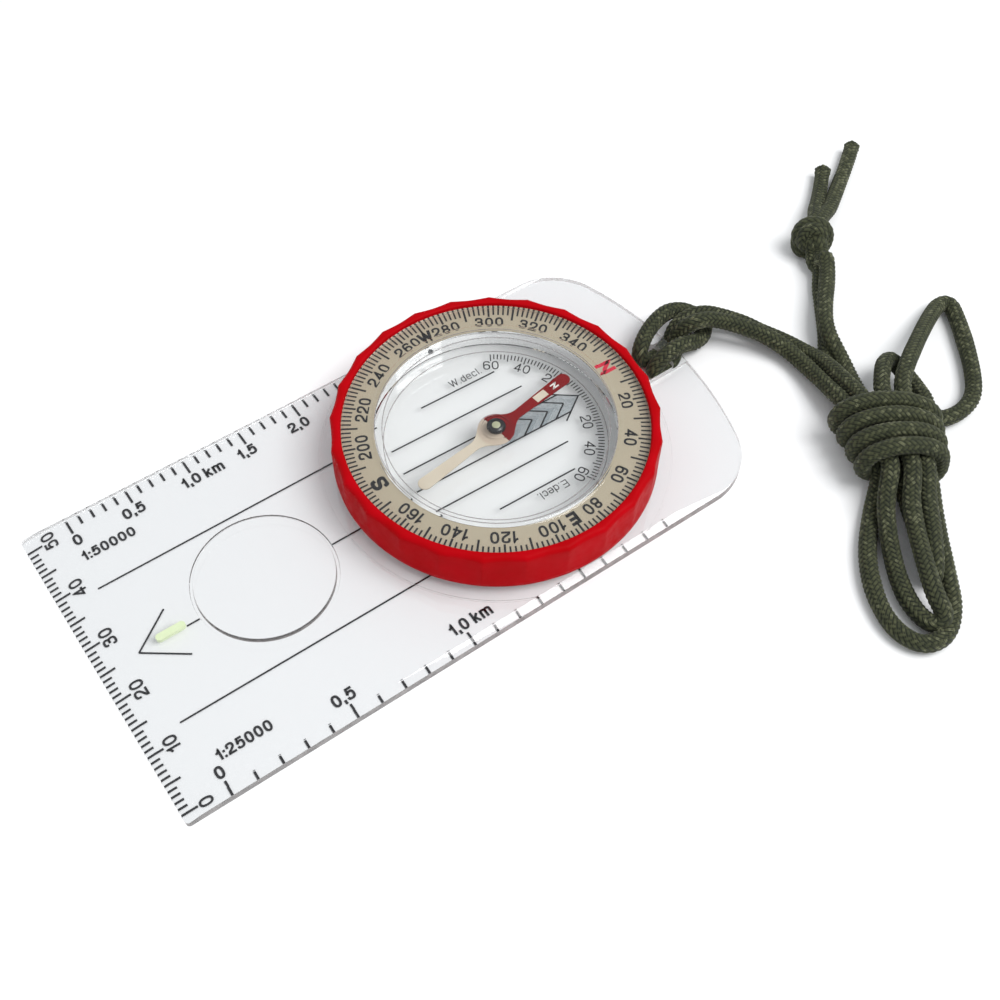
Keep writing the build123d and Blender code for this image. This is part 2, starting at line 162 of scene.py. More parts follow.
# Drawn characters: width, then strokes in a unit box. A repeated point is a sharp corner.
GLYPHS = {
    "0": (0.66, [loop((0, 0), (1, 0), (1, 1), (0, 1))]),
    "1": (0.40, [pen((0, 0.72), (0.6, 0.8), (0.9, 1), (0.9, 1), (0.9, 0))]),
    "2": (
        0.66,
        [
            pen(
                *((0.02, 0.7), (0.04, 1), (0.96, 1), (1.04, 0.6), (0.55, 0.34)),
                *((0.02, 0.16), (0, 0), (0, 0), (1, 0)),
            ),
        ],
    ),
    "3": (
        0.66,
        [
            pen((0.02, 0.8), (0.06, 1), (0.94, 1), (0.94, 0.54), (0.4, 0.54)),
            pen((0.4, 0.54), (1, 0.54), (1.02, 0), (0, 0), (0, 0.2)),
        ],
    ),
    "4": (0.68, [pen((1, 0.26), (0, 0.26), (0, 0.26), (0.72, 1), (0.72, 1), (0.72, 0))]),
    "5": (
        0.66,
        [
            pen((0.9, 1), (0.22, 1), (0.22, 1), (0.1, 0.56)),
            pen((0.1, 0.52), (0.3, 0.68), (1.02, 0.7), (1.02, 0), (0.06, 0), (0, 0.1)),
        ],
    ),
    "6": (
        0.66,
        [loop((0, 0), (1, 0), (1, 0.6), (0, 0.6)), pen((0.97, 0.88), (0.9, 1), (0, 1.02), (0, 0.32))],
    ),
    "8": (
        0.66,
        [
            loop((0, 0), (1, 0), (1, 0.53), (0, 0.53)),
            loop((0.07, 0.53), (0.93, 0.53), (0.93, 1), (0.07, 1)),
        ],
    ),
    "N": (0.78, [pen((0, 0), (0, 1), (0, 1), (1, 0), (1, 0), (1, 1))]),
    "E": (0.70, [pen((1, 1), (0, 1), (0, 1), (0, 0), (0, 0), (1, 0)), pen((0, 0.52), (0.9, 0.52))]),
    "S": (
        0.76,
        [pen((0.96, 0.84), (0.9, 1), (0.04, 1), (0, 0.56), (1, 0.46), (1.02, 0), (0.06, 0), (0, 0.16))],
    ),
    "W": (1.05, [pen((0, 1), (0.26, 0), (0.26, 0), (0.5, 1), (0.5, 1), (0.74, 0), (0.74, 0), (1, 1))]),
    "k": (0.56, [pen((0, 0), (0, 1)), pen((0.95, 0.7), (0, 0.25)), pen((0.35, 0.42), (1, 0))]),
    "m": (
        0.92,
        [
            pen((0, 0), (0, 0.7)),
            pen((0, 0.35), (0, 0.72), (0.5, 0.72), (0.5, 0.35), (0.5, 0)),
            pen((0.5, 0.35), (0.5, 0.72), (1, 0.72), (1, 0.35), (1, 0)),
        ],
    ),
    "d": (0.58, [pen((1, 0), (1, 1)), loop((0, 0), (1, 0), (1, 0.72), (0, 0.72))]),
    "e": (
        0.60,
        [pen((0.05, 0.38), (1, 0.38), (1, 0.38), (1, 0.74), (0, 0.74), (0, 0), (0.85, 0), (0.95, 0.08))],
    ),
    "c": (0.56, [pen((0.96, 0.6), (0.9, 0.72), (0, 0.74), (0, -0.02), (0.9, 0), (0.96, 0.12))]),
    "l": (0.16, [pen((0.5, 0), (0.5, 1))]),
    ".": (0.16, [pen((0.5, 0), (0.5, 0.02))]),
    ",": (0.16, [pen((0.6, 0.04), (0.6, -0.04), (0.2, -0.16))]),
    ":": (0.16, [pen((0.5, 0), (0.5, 0.02)), pen((0.5, 0.58), (0.5, 0.6))]),
    " ": (0.10, []),
}
GLYPH_GAP = 0.15


def softened(points, closed):
    """Corners cut three times over, so that a few points make a smooth stroke."""
    points = [Vector(point) for point in points]
    for _ in range(3):
        after = points[1:] + points[:1] if closed else points[1:]
        cut = []
        for first, second in zip(points, after):
            cut += [first.lerp(second, 0.25), first.lerp(second, 0.75)]
        points = cut if closed else [points[0], *cut, points[-1]]
    kept = [points[0]]
    for point in points[1:]:
        if (point - kept[-1]).length > 1e-4:
            kept.append(point)
    return kept


def ribbon(form, points, closed, width, bottom, top):
    """Adds a printed stroke of even width along points, with square ends."""
    count = len(points)
    runs = [(points[(index + 1) % count] - points[index]).normalized() for index in range(count)]
    if not closed:
        runs[-1] = runs[-2]
        points = [points[0] - runs[0] * width / 2, *points[1:-1], points[-1] + runs[-1] * width / 2]
    corners = []
    for index, point in enumerate(points):
        before = runs[index - 1] if closed or index else runs[0]
        along = (before + runs[index]).normalized()
        side = Vector((-along.y, along.x))
        reach = width / 2 / max(0.5, along.dot(runs[index]))
        edges = [point + side * reach, point - side * reach]
        corners.append([form.verts.new((edge.x, edge.y, z)) for z in (bottom, top) for edge in edges])
    for index in range(count if closed else count - 1):
        here, there = corners[index], corners[(index + 1) % count]
        for first, second in ((0, 1), (1, 3), (3, 2), (2, 0)):
            form.faces.new((here[first], here[second], there[second], there[first]))
    if not closed:
        form.faces.new([corners[0][index] for index in (0, 1, 3, 2)])
        form.faces.new([corners[-1][index] for index in (0, 1, 3, 2)])


def letters(form, words, height, place, turn, bottom, top, weight=0.14):
    """Adds printed words, centred on place, with capitals of that height, turned about Z in degrees."""
    total = sum(GLYPHS[letter][0] + GLYPH_GAP for letter in words) - GLYPH_GAP
    turned = Matrix.Rotation(radians(turn), 2)
    start = -total / 2
    for letter in words:
        width, strokes = GLYPHS[letter]
        for closed, points in strokes:
            placed = []
            for point in softened(points, closed):
                x = start + weight / 2 + point.x * (width - weight)
                y = weight / 2 + point.y * (1 - weight) - 0.5
                placed.append(Vector(place) + turned @ (Vector((x, y)) * height))
            ribbon(form, placed, closed, weight * height, bottom, top)
        start += width + GLYPH_GAP


# ---------------------------------------------------------------- materials


class Finish:
    """A material with a Principled shader, and short ways to add nodes to it."""

    def __init__(self, name, colour, roughness, **settings):
        self.material = bpy.data.materials.new(name)
        self.material.use_nodes = True
        self.tree = self.material.node_tree
        self.shader = self.tree.nodes["Principled BSDF"]
        self.output = self.tree.nodes["Material Output"]
        self.glass = self.shader.outputs[0]
        self.shader.inputs["Base Color"].default_value = (*colour, 1)
        self.shader.inputs["Roughness"].default_value = roughness
        for socket, value in settings.items():
            self.shader.inputs[socket.replace("_", " ")].default_value = value

    def add(self, kind, links=None, **values):
        """A node with its properties set, and its inputs given as values or as other nodes' outputs."""
        node = self.tree.nodes.new(kind)
        for name, value in values.items():
            setattr(node, name, value)
        for socket, value in (links or {}).items():
            if isinstance(value, bpy.types.NodeSocket):
                self.tree.links.new(value, node.inputs[socket])
            else:
                node.inputs[socket].default_value = value
        return node

    def maths(self, operation, *values):
        return self.add("ShaderNodeMath", dict(enumerate(values)), operation=operation).outputs[0]

    def place(self, scale=(1, 1, 1)):
        """The object's own coordinates in millimetres, stretched."""
        coordinates = self.add("ShaderNodeTexCoord").outputs["Object"]
        stretch = {"Vector": coordinates, "Scale": tuple(value / MM for value in scale)}
        return self.add("ShaderNodeMapping", stretch).outputs[0]

    def noise(self, scale, detail=3.0, stretch=(1, 1, 1), rough=0.5):
        links = {"Vector": self.place(stretch), "Scale": scale, "Detail": detail, "Roughness": rough}
        return self.add("ShaderNodeTexNoise", links).outputs[0]

    def span(self, value, low, high, start=0.0, end=1.0):
        links = {"Value": value, "From Min": start, "From Max": end, "To Min": low, "To Max": high}
        return self.add("ShaderNodeMapRange", links).outputs[0]

    def blend(self, factor, first, second):
        """A mix of two colours, each a tuple or a socket."""
        node = self.add("ShaderNodeMix", data_type="RGBA")
        for socket, value in ((node.inputs[0], factor), (node.inputs[6], first), (node.inputs[7], second)):
            if isinstance(value, bpy.types.NodeSocket):
                self.tree.links.new(value, socket)
            else:
                socket.default_value = value if isinstance(value, float) else (*value, 1)
        return node.outputs[2]

    def use(self, socket, value):
        self.tree.links.new(value, self.shader.inputs[socket])
        return self

    def bump(self, height, strength, distance):
        """Relief of that depth in millimetres."""
        links = {"Height": height, "Strength": strength, "Distance": distance * MM}
        return self.use("Normal", self.add("ShaderNodeBump", links).outputs[0])

    def see_through_lamps(self, shade):
        """Glass that shadows and matt surfaces see straight through, dimmed to shade."""
        path = self.add("ShaderNodeLightPath")
        rays = self.maths("MAXIMUM", path.outputs["Is Shadow Ray"], path.outputs["Is Diffuse Ray"])
        clear = self.add("ShaderNodeBsdfTransparent", {"Color": (shade, shade, shade, 1)}).outputs[0]
        mix = self.add("ShaderNodeMixShader", {0: rays, 1: self.glass, 2: clear})
        self.tree.links.new(mix.outputs[0], self.output.inputs[0])
        return self

    def milky(self, mask, colour):
        """Plastic that scatters light where the mask says, as a moulded edge does."""
        matt = self.add("ShaderNodeBsdfDiffuse", {"Color": (*colour, 1)}).outputs[0]
        through = self.add("ShaderNodeBsdfTranslucent", {"Color": (*colour, 1)}).outputs[0]
        scattered = self.add("ShaderNodeMixShader", {0: 0.5, 1: matt, 2: through}).outputs[0]
        self.glass = self.add("ShaderNodeMixShader", {0: mask, 1: self.glass, 2: scattered}).outputs[0]
        return self


def clear_plastic(name, tint, index, shade, edge_roughness, edge_milk_and_shade=0.0, gloss=0.2):
    """Polished clear plastic with wiping scratches, faint moulding ripples and duller upright edges, whose
    grey scattering is partly painted shade.
    """
    finish = Finish(name, tint, 0.0, Transmission_Weight=1.0, IOR=index, Specular_IOR_Level=gloss)
    wiping = finish.noise(1.4, 2.0, (6.0, 0.12, 1.0))
    marks = finish.span(wiping, 0.0, 0.05, 0.62, 0.8)
    normal = finish.add("ShaderNodeTexCoord").outputs["Normal"]
    upright = finish.maths("ABSOLUTE", finish.add("ShaderNodeSeparateXYZ", {0: normal}).outputs[2])
    edges = finish.span(upright, edge_roughness, 0.0, 0.15, 0.4)
    finish.use("Roughness", finish.maths("MAXIMUM", marks, edges))
    finish.bump(finish.noise(0.05, 1.0), 0.12, 0.25)
    if edge_milk_and_shade:
        # Upright edges scatter light in a grey darker than a frosted edge: partly painted shade for the dark
        # band that refraction gives a clear edge.
        uneven = finish.span(finish.noise(0.6, 3.0), 0.7, 1.3, 0.3, 0.7)
        edge_milk_and_shade_mask = finish.maths("MULTIPLY", finish.span(upright, edge_milk_and_shade, 0.0, 0.15, 0.5), uneven)
        finish.milky(edge_milk_and_shade_mask, (0.58, 0.55, 0.54))
    return finish.see_through_lamps(shade).material


def ink(name, colour, wear_and_glints):
    """Printing ink, thin in places."""
    finish = Finish(name, colour, 0.5, Specular_IOR_Level=0.1)
    patchy = finish.span(finish.noise(5.0, 4.0), 0.0, 1.0, 0.3, 0.75)
    finish.use("Base Color", finish.blend(patchy, colour, wear_and_glints))
    return finish.bump(finish.noise(12.0), 0.2, 0.01).material


def see_through_ink(name, colour, cover):
    """A thin tint that the floor shows through, for print and for painted shade."""
    finish = Finish(name, colour, 0.5)
    patchy = finish.span(finish.noise(2.0, 3.0), cover * 0.8, cover * 1.2, 0.3, 0.7)
    clear = finish.add("ShaderNodeBsdfTransparent").outputs[0]
    mix = finish.add("ShaderNodeMixShader", {0: patchy, 1: clear, 2: finish.shader.outputs[0]})
    finish.tree.links.new(mix.outputs[0], finish.output.inputs[0])
    return finish.material


def moulded(name, colour, deep, roughness, grain, **settings):
    """Coloured plastic with slightly uneven pigment and a fine moulded grain."""
    finish = Finish(name, colour, roughness, **settings)
    uneven = finish.span(finish.noise(0.22, 3.0), 0.0, 1.0, 0.3, 0.7)
    finish.use("Base Color", finish.blend(uneven, colour, deep))
    finish.use("Roughness", finish.span(finish.noise(0.9, 4.0), roughness * 0.8, roughness * 1.25, 0.3, 0.7))
    return finish.bump(finish.noise(9.0, 4.0), grain, 0.02).material


def scale_plastic():
    """Pale glow-in-the-dark plastic: cream with fine grains in it, and a little light through it."""
    cream = (0.64, 0.58, 0.46)
    finish = Finish("scale_beige", cream, 0.45)
    grains = finish.span(finish.noise(7.0, 6.0, rough=0.7), 0.0, 1.0, 0.38, 0.62)
    speckled = finish.blend(grains, (0.40, 0.34, 0.24), (0.56, 0.5, 0.37))
    finish.use("Base Color", speckled)
    finish.bump(grains, 0.15, 0.02)
    through = finish.add("ShaderNodeBsdfTransparent", {"Color": (0.95, 0.85, 0.75, 1)}).outputs[0]
    mix = finish.add("ShaderNodeMixShader", {0: 0.2, 1: finish.shader.outputs[0], 2: through})
    finish.tree.links.new(mix.outputs[0], finish.output.inputs[0])
    return finish.material


def braid():
    """Olive nylon braid: the mesh carries its relief, the weave map says which strand lies on top; the gaps
    between strands carry painted shade and the raised threads carry painted glints.
    """
    surface = {"Sheen_Weight": 0.08, "Sheen_Roughness": 0.5, "Specular_IOR_Level": 0.2}
    finish = Finish("cord_olive", (0.05, 0.06, 0.03), 0.7, **surface)
    weave = finish.add("ShaderNodeUVMap", uv_map="Weave").outputs[0]
    split = finish.add("ShaderNodeSeparateXYZ", {0: weave})
    right, left = split.outputs[0], split.outputs[1]
    right_number = finish.maths("FLOOR", right)
    left_number = finish.maths("FLOOR", left)
    order = finish.maths("FLOORED_MODULO", finish.maths("ADD", right_number, left_number), 4.0)
    right_on_top = finish.maths("LESS_THAN", order, 1.5)
    across_right = finish.maths("MULTIPLY", finish.maths("FRACT", right), right_on_top)
    left_on_top = finish.maths("SUBTRACT", 1.0, right_on_top)
    across_left = finish.maths("MULTIPLY", finish.maths("FRACT", left), left_on_top)
    across = finish.maths("ADD", across_right, across_left)
    threads = finish.maths("SINE", finish.maths("MULTIPLY", across, 2 * pi * 3))
    number = finish.add("ShaderNodeCombineXYZ", {0: right_number, 1: left_number}).outputs[0]
    lot = finish.add("ShaderNodeTexWhiteNoise", {"Vector": number}, noise_dimensions="2D").outputs[0]
    relief = finish.add("ShaderNodeAttribute", attribute_name="relief").outputs["Fac"]
    olive = finish.blend(finish.span(lot, 0.0, 1.0), (0.036, 0.042, 0.020), (0.070, 0.076, 0.036))
    # Painted shade: near-black in the low gaps between strands, where shade falls.
    painted_gap_shade = finish.blend(finish.span(relief, 0.0, 1.0, 0.1, 0.75), (0.004, 0.006, 0.004), olive)
    lit_threads = finish.maths("MULTIPLY", finish.span(threads, 0.0, 1.0, 0.1, 1.0), relief)
    # Painted glints: pale flecks on the raised threads of some stitches, gathered in low-frequency patches.
    wear_and_glints = finish.span(finish.noise(0.09, 1.0), 0.97, 0.72, 0.42, 0.6)
    glint_lot = finish.maths("GREATER_THAN", lot, wear_and_glints)
    painted_glints = finish.maths("MULTIPLY", lit_threads, finish.maths("MULTIPLY", glint_lot, 0.6))
    finish.use("Base Color", finish.blend(painted_glints, painted_gap_shade, (0.34, 0.35, 0.22)))
    height = finish.maths("ADD", threads, finish.maths("MULTIPLY", finish.noise(6.0, 4.0), 2.0))
    return finish.bump(height, 0.5, 0.03).material


clear_acrylic = clear_plastic("clear_acrylic", (0.835, 0.845, 0.85), 1.49, 0.975, 0.2, 0.5)
capsule_clear = clear_plastic("capsule_clear", (0.87, 0.885, 0.88), 1.46, 0.965, 0.03, gloss=0.1)
print_black = ink("print_black", (0.012, 0.012, 0.014), (0.03, 0.03, 0.034))
print_red = ink("print_red", (0.52, 0.01, 0.035), (0.6, 0.03, 0.06))
print_white = ink("print_white", (0.8, 0.78, 0.74), (0.7, 0.66, 0.62))
bezel_red = moulded(
    "bezel_red", (0.43, 0.001, 0.005), (0.37, 0.001, 0.003), 0.42, 0.12, Specular_IOR_Level=0.03
)
needle_red = moulded(
    "needle_red", (0.22, 0.001, 0.003), (0.17, 0.0, 0.002), 0.4, 0.05, Specular_IOR_Level=0.02
)
needle_cream = moulded("needle_cream", (0.62, 0.55, 0.44), (0.56, 0.48, 0.37), 0.45, 0.08)
luminous = moulded("luminous", (0.68, 0.8, 0.46), (0.78, 0.86, 0.6), 0.5, 0.2)
index_red = ink("index_red", (0.55, 0.01, 0.02), (0.6, 0.03, 0.05))
pin_steel = moulded("pin_steel", (0.62, 0.62, 0.64), (0.5, 0.5, 0.52), 0.25, 0.05, Metallic=1.0)
cap_black = moulded("cap_black", (0.006, 0.007, 0.009), (0.012, 0.012, 0.014), 0.18, 0.03)
jewel = moulded("jewel", (0.35, 0.02, 0.06), (0.3, 0.02, 0.05), 0.1, 0.02)
plug_grey = moulded("plug_grey", (0.2, 0.21, 0.22), (0.14, 0.15, 0.16), 0.4, 0.1)
scale_beige = scale_plastic()
collar_pale = moulded("collar_pale", (0.8, 0.8, 0.8), (0.72, 0.72, 0.73), 0.3, 0.05)
# Painted reflection: the clear hub is tinted pink for the red of the needle's north half glinting in it.
hub_clear = clear_plastic("hub_clear", (1.0, 0.9, 0.9), 1.2, 0.9, 0.05)
dot_pale = moulded("dot_pale", (0.42, 0.42, 0.28), (0.34, 0.35, 0.22), 0.4, 0.1)
# Partly print, partly painted shadow: the arrow's grey fill stands in for the needle's soft shadow as well.
arrow_print_and_shadow = see_through_ink("arrow_print_and_shadow", (0.36, 0.42, 0.45), 0.28)
# Painted shade: dark see-through lines standing for the capsule's inner wall edges.
wall_painted_shade = see_through_ink("wall_painted_shade", (0.3, 0.27, 0.27), 0.5)
cord_olive = braid()


def dress(node, material):
    """Gives a CAD node its finished material."""
    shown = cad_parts[node]
    shown.data.materials.clear()
    shown.data.materials.append(material)


# ---------------------------------------------------------------- camera, floor and light

camera_data = bpy.data.cameras.new("camera")
camera_data.lens = CAMERA_LENS
camera_data.clip_start = 0.01
camera_data.clip_end = 20
camera = bpy.data.objects.new("camera", camera_data)
camera.location = Vector(CAMERA_PLACE) * MM
camera.rotation_euler = [radians(angle) for angle in CAMERA_TURN]
bpy.context.scene.collection.objects.link(camera)
bpy.context.scene.camera = camera


def floor():
    """A pale, matt studio floor."""
    form = bmesh.new()
    bmesh.ops.create_grid(form, x_segments=8, y_segments=8, size=3000)
    mesh = mesh_of(form, "floor")
    finish = Finish("studio_floor", (0.9, 0.9, 0.9), 0.9, Specular_IOR_Level=0.1)
    cloudy = finish.noise(0.02, 2.0)
    finish.use("Base Color", finish.blend(cloudy, (0.895, 0.897, 0.9), (0.905, 0.907, 0.91)))
    mesh.materials.append(finish.material)
    ground = bpy.data.objects.new("floor", mesh)
    ground.location.z = FLOOR_Z * MM
    bpy.context.scene.collection.objects.link(ground)


def lamp(name, place, aim, size, power):
    """A square soft box aimed at a point, both in millimetres."""
    light = bpy.data.lights.new(name, "AREA")
    light.shape = "SQUARE"
    light.size = size * MM
    light.energy = power
    box = bpy.data.objects.new(name, light)
    box.location = Vector(place) * MM
    box.rotation_euler = (Vector(place) - Vector(aim)).to_track_quat("Z", "Y").to_euler()
    bpy.context.scene.collection.objects.link(box)


floor()
lamp("softbox_overhead", (260, 260, 620), (15, 20, 0), 420, 3.9)
world = bpy.data.worlds.new("studio")
world.use_nodes = True
world.node_tree.nodes["Background"].inputs[0].default_value = (0.96, 0.98, 1.0, 1)
world.node_tree.nodes["Background"].inputs[1].default_value = 0.72
bpy.context.scene.world = world
bpy.context.scene.view_settings.view_transform = "Standard"


# ---------------------------------------------------------------- the clear plate

PLATE_PRINT = (0.02, 0.045)
LENS_PROFILE_RIM = 0.7
LENS_GROOVE = 0.23
LENS_STEP = 0.6
DOME_RINGS = 24


def sharpen(mesh, angle):
    """Smooth shading inside curved walls only: flat tops and bottoms keep crisp edges."""
    form = bmesh.new()
    form.from_mesh(mesh)
    for face in form.faces:
        face.smooth = True
    for edge in form.edges:
        flat = [abs(face.normal.z) > 1 - 1e-6 for face in edge.link_faces]
        turned = edge.calc_face_angle(0) > radians(angle)
        edge.smooth = not (turned or len(set(flat)) == 2)
    form.to_mesh(mesh)
    form.free()


def lens_profile():
    """From the middle of its flat underside, round the rim and its groove, and up over the dome."""
    rim = LENS_RADIUS - LENS_PROFILE_RIM
    rise = lens_high.z - PLATE_TOP - LENS_STEP
    ball = (rim**2 + rise**2) / (2 * rise)
    profile = [(0, 0), (LENS_RADIUS + 0.15, 0), (LENS_RADIUS + 0.15, PLATE_TOP), (LENS_RADIUS, PLATE_TOP)]
    profile += [(LENS_RADIUS - 0.1, PLATE_TOP - LENS_GROOVE), (rim + 0.2, PLATE_TOP - LENS_GROOVE)]
    profile += [(rim + 0.08, PLATE_TOP + LENS_STEP - 0.12)]
    for ring in range(DOME_RINGS):
        radius = rim * (1 - ring / DOME_RINGS)
        profile.append((radius, lens_high.z - ball + (ball**2 - radius**2) ** 0.5))
    return profile + [(0, lens_high.z)]


def united(mesh, *extras):
    """A mesh with other solids melted into it."""
    whole = bpy.data.objects.new("united", mesh)
    bpy.context.scene.collection.objects.link(whole)
    added = []
    for number, extra in enumerate(extras):
        other = bpy.data.objects.new("extra", extra)
        bpy.context.scene.collection.objects.link(other)
        joiner = whole.modifiers.new(f"join_{number}", "BOOLEAN")
        joiner.operation = "UNION"
        joiner.solver = "EXACT"
        joiner.object = other
        added.append(other)
    bpy.context.view_layer.update()
    done = bpy.data.meshes.new_from_object(whole.evaluated_get(bpy.context.evaluated_depsgraph_get()))
    for other in [whole, *added]:
        bpy.data.objects.remove(other)
    return done


def clear_plate():
    """The plate, its lens and the filled seat of the travel bar as one piece of acrylic."""
    form = bmesh.new()
    form.from_mesh(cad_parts["baseplate"].data)
    bmesh.ops.remove_doubles(form, verts=form.verts, dist=0.0005 * MM)
    plate = mesh_of(form, "plate", scale=1)
    lens = mesh_of(lathe(lens_profile(), (LENS_CENTRE.x, LENS_CENTRE.y), 192), "lens")
    seat = bmesh.new()
    middle = (strip_low + strip_high) / 2
    reach = (strip_high - strip_low) / 2 + Vector((0.1, 0.1, 0))
    corners = [(-1, -1), (1, -1), (1, 1), (-1, 1)]
    outline = [(middle.x + reach.x * x, middle.y + reach.y * y) for x, y in corners]
    slab(seat, outline, strip_low.z - 0.1, PLATE_TOP)
    mesh = united(plate, lens, mesh_of(seat, "seat"))
    plate_piece = piece("clear_plate", mesh, "baseplate", clear_acrylic)
    sharpen(mesh, 30)
    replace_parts(plate_piece, "baseplate", "magnifier_lens")


def travel_bar():
    """The luminous bar set in the plate inside the travel arrow."""
    form = bmesh.new()
    half = (strip_high.x - strip_low.x) / 2
    outline = []
    for middle, start in ((strip_high.y - half, 0), (strip_low.y + half, 180)):
        for step in range(17):
            angle = radians(start + step * 180 / 16)
            outline.append((half * cos(angle), middle + half * sin(angle)))
    slab(form, outline, 0.9, PLATE_TOP - 0.03)
    mesh = mesh_of(form, "travel_bar")
    bar = piece("travel_bar", mesh, "baseplate", luminous, smooth_below=40)
    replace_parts(bar, "travel_lume_strip")


def plate_scales():
    """The printing on the plate's underside."""
    form = bmesh.new()
    low, high = PLATE_PRINT

    def line(start, end, width=0.27):
        stroke(form, start, end, width, low, high)

    def words(text, height, place, turn, weight=0.19):
        letters(form, text, height, place, turn, low, high, weight)

    for millimetre in range(51):
        x = 25.2 - millimetre
        length = 1.5 if millimetre % 5 else 2.55
        line((x, FRONT + 0.03), (x, FRONT + length), 0.34)
        if millimetre % 10 == 0:
            words(str(millimetre), 2.05, (x - 0.1 * (millimetre > 0), FRONT + 3.8), 180, 0.16)
    for tenth in range(39):
        y = -46.0 + 2 * tenth
        line((-26.6, y), (-25.1 if tenth % 5 else -24.2, y), 0.36)
    for tenth in range(20):
        y = -46.1 + 4 * tenth
        line((26.8, y), (25.15 if tenth % 5 else 24.25, y), 0.36)
    for label, y in (("0", -45.9), ("0,5", -36.5), ("1,0 km", -24.5), ("1,5", -16.6), ("2,0", -7.1)):
        words(label, 2.0, (-22.8, y), 90)
    words("1:50000", 1.8, (-19.5, -42.3), 90)
    for label, y in (("0", -46.1), ("0,5", -26.4), ("1,0 km", -4.5)):
        words(label, 2.0, (22.75, y), 90)
    words("1:25000", 1.8, (20.45, -41.0), 90)
    for side in (-1, 1):
        line((13.1 * side, -47.1), (13.1 * side, 2.0))
        line((0, -46.9), (4.5 * side, -40.7))
    line((0, -39.2), (0, -37.1))
    line((0, -14.5), (0, -7.0))
    piece("plate_print", mesh_of(form, "plate_print"), "baseplate", print_black)


# ---------------------------------------------------------------- the dial


def on_dial(form):
    """Turns printing drawn north-up round the origin to the dial's place and turn."""
    form.transform(Matrix.Translation((0, DIAL_Y, 0)) @ Matrix.Rotation(radians(DIAL_TURN), 4, "Z"))
    return form


BEZEL_FACETS = 25
FACET_TURN = 82.8
FACET_DEPTH = 0.45
BEZEL_ROUNDING = 0.8


def bezel():
    """The grip ring: shallow hollows that fade downward, and a rounded top edge."""
    low, high = (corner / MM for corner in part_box("bezel_ring"))
    outer = (high.x - low.x) / 2
    bore = lid_high.x + 0.02
    rows = [(bore, low.z + 0.1, False), (bore, high.z - 0.25, False), (bore + 0.12, high.z - 0.08, False)]
    rows += [(bore + 0.3, high.z, False)]
    for step in range(8):
        angle = radians(step * 90 / 7)
        inset = BEZEL_ROUNDING * (1 - sin(angle))
        rows.append((outer - inset, high.z - BEZEL_ROUNDING * (1 - cos(angle)), True))
    for step in range(1, 9):
        fall = (high.z - BEZEL_ROUNDING - low.z - 0.3) * step / 8
        rows.append((outer, high.z - BEZEL_ROUNDING - fall, True))
    rows.append((outer - 0.3, low.z, True))
    rows.append((bore + 0.1, low.z, False))
    steps = BEZEL_FACETS * 24
    form = bmesh.new()
    rings = []
    for radius, height, hollowed in rows:
        depth = FACET_DEPTH * (height - low.z) / (high.z - low.z) * hollowed
        ring = []
        for step in range(steps):
            angle = 2 * pi * step / steps
            across = BEZEL_FACETS * (angle - radians(FACET_TURN)) / (2 * pi) + 0.5
            part = across % 1
            hollow = 1 - abs(2 * part - 1) ** 1.7
            reach = radius - depth * hollow
            ring.append(form.verts.new((reach * cos(angle), DIAL_Y + reach * sin(angle), height)))
        rings.append(ring)
    for lower, upper in zip(rings, rings[1:] + rings[:1]):
        for step in range(steps):
            after = (step + 1) % steps
            form.faces.new((lower[step], lower[after], upper[after], upper[step]))
    ring = piece("grip_bezel", mesh_of(form, "grip_bezel"), "dial", bezel_red, smooth_below=50)
    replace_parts(ring, "bezel_ring")


WALL_RING = 17.75


def wall_rings():
    """Painted shade lines for the faint edges of the capsule's inner wall, where it meets the floor and the
    lid; the one-solid capsule has no such wall.
    """
    form = bmesh.new()
    turns = [radians(turn * 1.5) for turn in range(240)]
    edges = ((WALL_RING, CAPSULE_FLOOR + 0.1), (WALL_RING, SCALE_TOP - 0.45), (18.9, SCALE_TOP + 0.9))
    for radius, height in edges:
        circle = [Vector((radius * cos(turn), radius * sin(turn))) for turn in turns]
        ribbon(form, circle, True, 0.14, height, height + 0.1)
    piece("wall_rings", mesh_of(on_dial(form), "wall_rings"), "dial", wall_painted_shade)


def fill_plug():
    """The small plug through which the capsule was filled."""
    low, high = (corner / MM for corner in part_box("fill_plug"))
    middle = (low + high) / 2
    top = middle.z + 0.2
    profile = [(0, top - 0.5), (0.42, top - 0.5), (0.42, top - 0.04), (0.38, top)]
    profile += [(0.24, top), (0.2, top - 0.2), (0, top - 0.2)]
    mesh = mesh_of(lathe(profile, (middle.x + 0.3, middle.y), 32), "capsule_plug")
    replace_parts(piece("capsule_plug", mesh, "dial", plug_grey, smooth_below=40), "fill_plug")


def compass_point(radius, bearing):
    return (radius * sin(radians(bearing)), radius * cos(radians(bearing)))


def capsule():
    """The clear housing with its liquid, as one solid of the liquid's refraction."""
    wall = (body_high.x - body_low.x) / 2 - 0.01
    lid = (lid_high.x - lid_low.x) / 2 - 0.05
    under, edge, crown = lid_low.z - 0.02, lid_high.z - 0.3, lid_high.z
    ring, step = 18.93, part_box("degree_scale_ring")[0].z / MM - 0.04
    profile = [(0, body_low.z), (wall - 0.3, body_low.z), (wall, body_low.z + 0.3), (wall, step)]
    profile += [(ring, step), (ring, under), (lid, under)]
    profile += [(lid, edge - 0.08), (lid - 0.08, edge), (19.95, edge)]
    profile += [(19.75, edge + 0.05), (19.55, crown - 0.06), (19.4, crown), (0, crown)]
    mesh = mesh_of(lathe(profile, (0, DIAL_Y), 320), "capsule")
    housing = piece("clear_capsule", mesh, "dial", capsule_clear)
    sharpen(mesh, 40)
    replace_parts(housing, "capsule_lid", "capsule_body")


DEGREE_LABELS = 20.95
DEGREE_RIM = 24.0
FLOOR_LABELS = 14.9
FLOOR_RIM = 17.2


